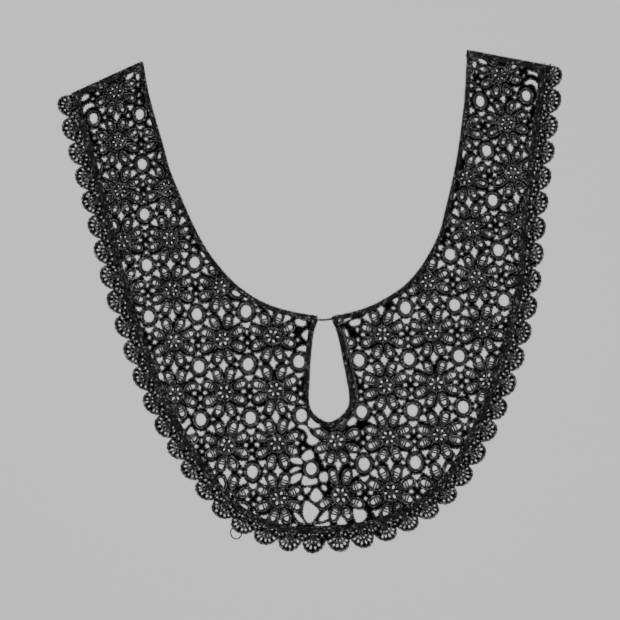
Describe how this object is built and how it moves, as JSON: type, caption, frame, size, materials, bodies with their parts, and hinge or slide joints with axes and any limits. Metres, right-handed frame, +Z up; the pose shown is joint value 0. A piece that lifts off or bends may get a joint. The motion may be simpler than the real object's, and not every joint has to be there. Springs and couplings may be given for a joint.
{
  "type": "lace collar",
  "caption": "Deep U-shaped guipure lace collar laid flat, with a flower and eyelet ground, a corded neck band, a keyhole at the front and a scalloped outer edge.",
  "frame": {"origin": "middle of the outline seen from above, on the plane of the underside", "axes": "+X towards the collar's right side as seen from above, +Y towards the two open shoulder ends, +Z up out of the face of the lace"},
  "size_m": [0.3412, 0.3362, 0.0022],
  "materials": {
    "lace_thread": "near-black rayon-like embroidery thread with a soft satin sheen",
    "corded_band": "near-black satin stitch, closely ribbed, with a soft sheen"
  },
  "bodies": {
    "root": {"ground_left": "lace_thread", "ground_right": "lace_thread", "neck_band_left": "corded_band", "neck_band_right": "corded_band", "end_band_left": "corded_band", "end_band_right": "corded_band", "outer_band_left": "corded_band", "outer_band_right": "corded_band", "scallop_edge_left": "lace_thread", "scallop_edge_right": "lace_thread", "keyhole_band": "corded_band", "keyhole_bar": "corded_band"}
  },
  "joints": []
}
